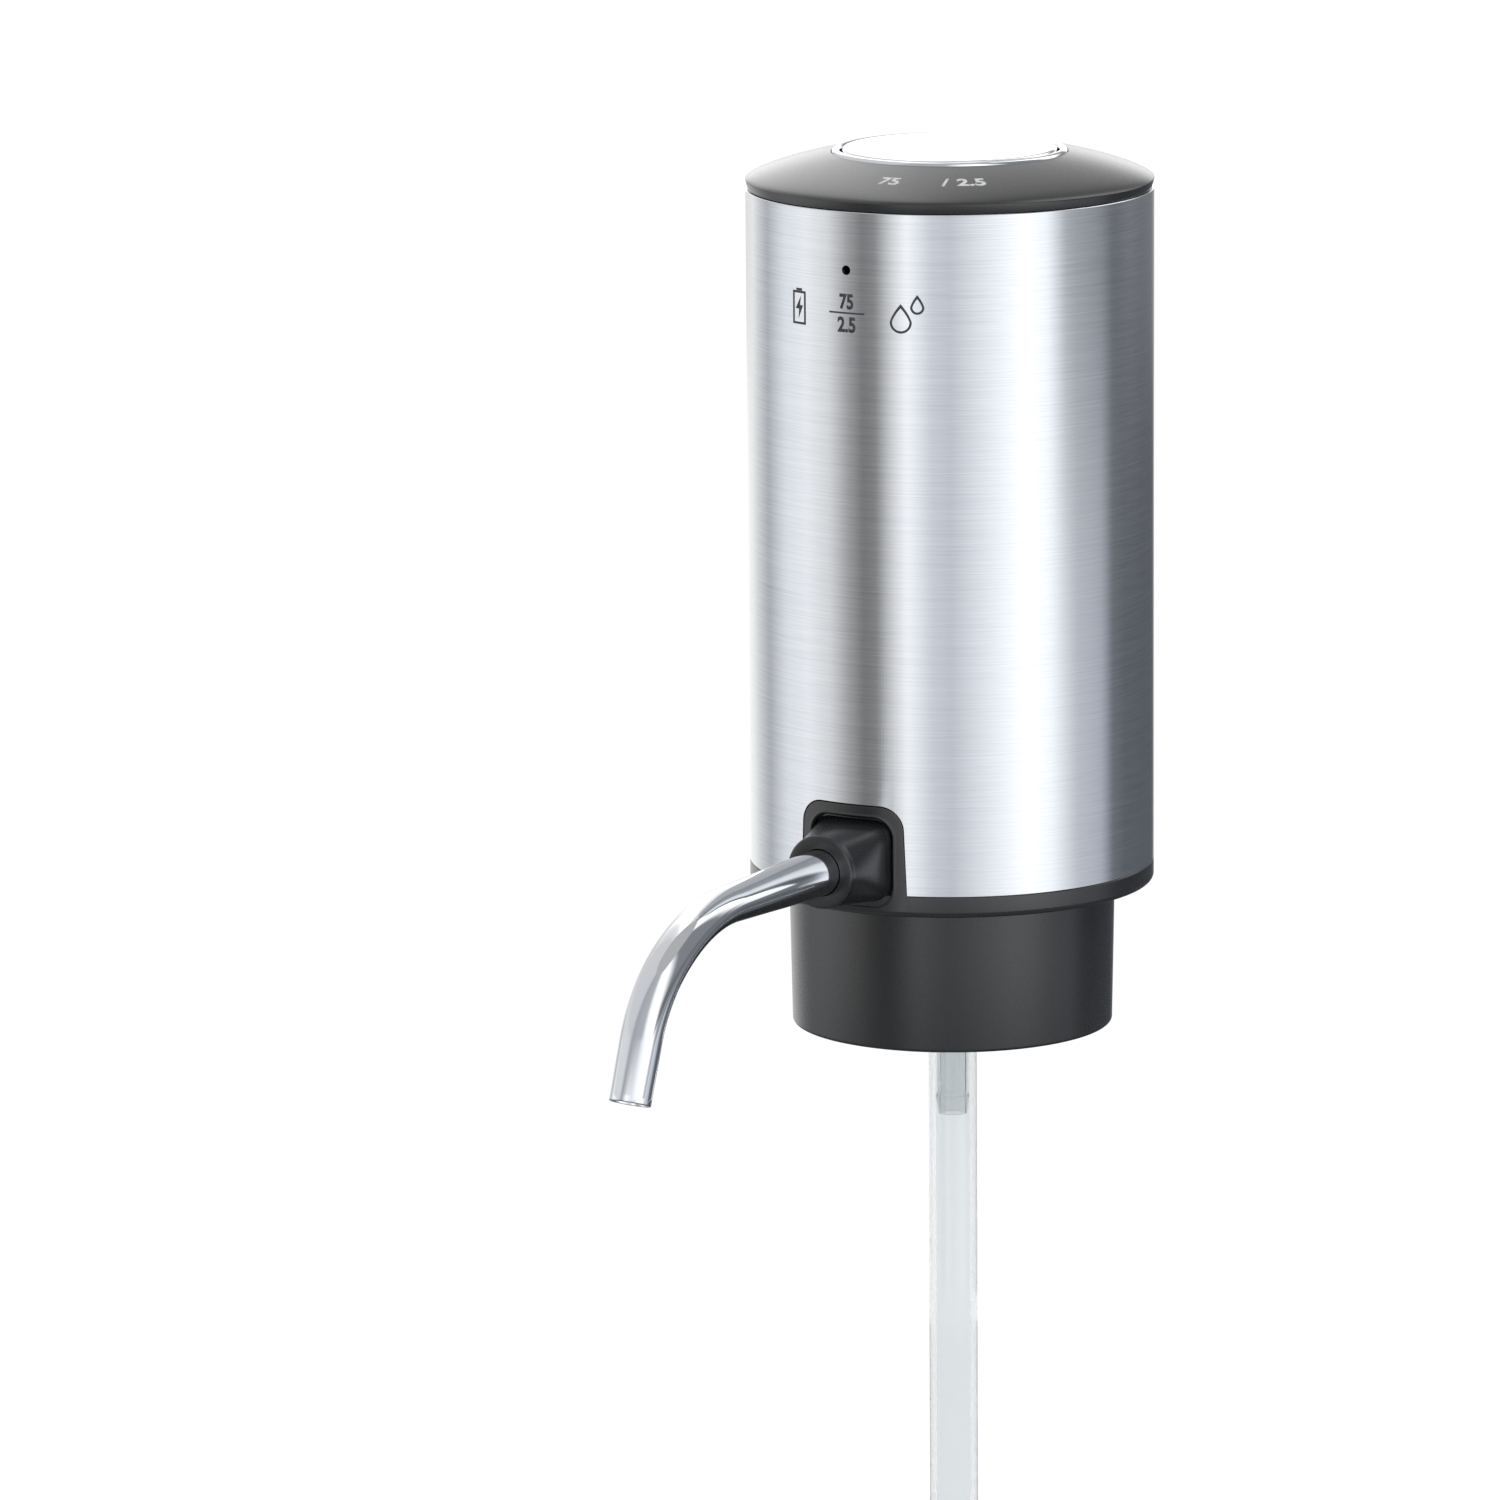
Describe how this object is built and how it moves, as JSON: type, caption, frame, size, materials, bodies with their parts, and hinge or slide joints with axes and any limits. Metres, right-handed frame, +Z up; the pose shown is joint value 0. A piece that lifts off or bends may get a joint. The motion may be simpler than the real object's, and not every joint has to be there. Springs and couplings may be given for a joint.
{
  "type": "electric wine aerator",
  "caption": "Battery-powered dispenser that stands on an open bottle, presses air into it and pours through a curved metal spout at the press of a round top button.",
  "frame": {"origin": "centre of the bottle's rim, where the stopper's flange rests on it", "axes": "+Z up along the body's axis, -Y forward along the spout, +X to the right seen from behind"},
  "size_m": [0.06, 0.1242, 0.38],
  "materials": {
    "brushed_steel": "fine brushed round the body",
    "polished_steel": "mirror polished",
    "dark_plastic": "satin moulded",
    "white_plastic": "plain moulded",
    "clear_plastic": "smooth translucent",
    "grey_silicone": "soft matt",
    "black_rubber": "soft matt",
    "zinc_steel": "bright zinc",
    "spring_steel": "drawn wire",
    "copper_wire": "enamelled wire",
    "brass": "turned",
    "ferrite": "sintered",
    "green_board": "lacquered board",
    "blue_wrap": "shrunk film",
    "black_foam": "open foam"
  },
  "bodies": {
    "housing": {"outer_sleeve": "brushed_steel", "base_housing": "dark_plastic", "neck_collar": "dark_plastic", "collar_screw_1": "zinc_steel", "collar_screw_2": "zinc_steel", "base_screw_1": "zinc_steel", "base_screw_2": "zinc_steel", "base_screw_3": "zinc_steel", "wine_channel": "clear_plastic", "channel_screw_1": "zinc_steel", "channel_screw_2": "zinc_steel", "core_o_ring": "black_rubber", "spout_o_ring": "black_rubber", "pump_hose": "grey_silicone", "vent_hose": "grey_silicone", "chassis_frame": "white_plastic", "pump_cover": "dark_plastic", "valve_plate": "dark_plastic", "outlet_valve": "black_rubber", "pump_diaphragm": "black_rubber", "pump_frame": "dark_plastic", "motor_can": "zinc_steel", "motor_end_cap": "dark_plastic", "motor_bush": "brass", "motor_magnet": "ferrite", "pump_screw_1": "zinc_steel", "pump_screw_2": "zinc_steel", "pump_screw_3": "zinc_steel", "battery_cell": "blue_wrap", "battery_pad": "black_foam", "battery_tab_bottom": "zinc_steel", "battery_tab_top": "zinc_steel", "vent_valve_body": "dark_plastic", "vent_coil": "copper_wire", "vent_core": "zinc_steel", "vent_spring": "spring_steel", "usb_board": "green_board", "usb_socket": "zinc_steel", "main_board": "green_board", "board_screw_1": "zinc_steel", "board_screw_2": "zinc_steel", "status_light": "white_plastic", "tact_switch": "dark_plastic", "top_cap": "dark_plastic", "trim_ring": "polished_steel", "button_guide": "white_plastic", "button_spring": "spring_steel", "guide_screw_1": "zinc_steel", "guide_screw_2": "zinc_steel"},
    "button": {"push_button": "polished_steel"},
    "switch_key": {"switch_plunger": "black_rubber"},
    "spout_bush": {"spout_seal": "black_rubber"},
    "spout": {"spout_tube": "polished_steel"},
    "stopper": {"bottle_stopper": "grey_silicone"},
    "straw": {"intake_tube": "clear_plastic"},
    "rotor": {"motor_rotor": "copper_wire", "pump_crank": "white_plastic", "wobble_pin": "polished_steel"},
    "wobbler": {"wobble_plate": "white_plastic"},
    "valve_pin": {"vent_plunger": "zinc_steel"}
  },
  "joints": [
    {"name": "button_press", "type": "slide", "parent": "housing", "child": "button", "axis": [0, 0, -1], "range_m": [0, 0.001], "stiffness_N_per_m": 1500, "springref_m": -0.001, "deforming": ["button_spring"]},
    {"name": "switch_press", "type": "slide", "parent": "housing", "child": "switch_key", "axis": [0, 0, -1], "range_m": [0, 0.001]},
    {"name": "spout_turn", "type": "hinge", "parent": "housing", "child": "spout_bush", "pos_m": [0, -0.0321, 0.0145], "axis": [0, 1, 0], "range_deg": [-45, 45]},
    {"name": "spout_pull", "type": "slide", "parent": "spout_bush", "child": "spout", "axis": [0, -1, 0], "range_m": [0, 0.018]},
    {"name": "stopper_pull", "type": "slide", "parent": "housing", "child": "stopper", "axis": [0, 0, -1], "range_m": [0, 0.023]},
    {"name": "straw_pull", "type": "slide", "parent": "housing", "child": "straw", "axis": [0, 0, -1], "range_m": [0, 0.012]},
    {"name": "pump_spin", "type": "hinge", "parent": "housing", "child": "rotor", "pos_m": [-0.0126, 0, 0.0673], "axis": [0, 0, 1], "continuous": true, "deforming": ["pump_diaphragm"]},
    {"name": "plate_wobble", "type": "hinge", "parent": "rotor", "child": "wobbler", "pos_m": [-0.0126, 0, 0.0361], "axis": [0.1219, 0, 0.9925], "continuous": true},
    {"name": "vent_lift", "type": "slide", "parent": "housing", "child": "valve_pin", "axis": [0, 0, 1], "range_m": [0, 0.001], "stiffness_N_per_m": 300, "springref_m": -0.001, "deforming": ["vent_spring"]}
  ],
  "couplings": [
    {"joint": "switch_press", "follows": "button_press", "ratio": 1},
    {"joint": "plate_wobble", "follows": "pump_spin", "ratio": -1}
  ]
}
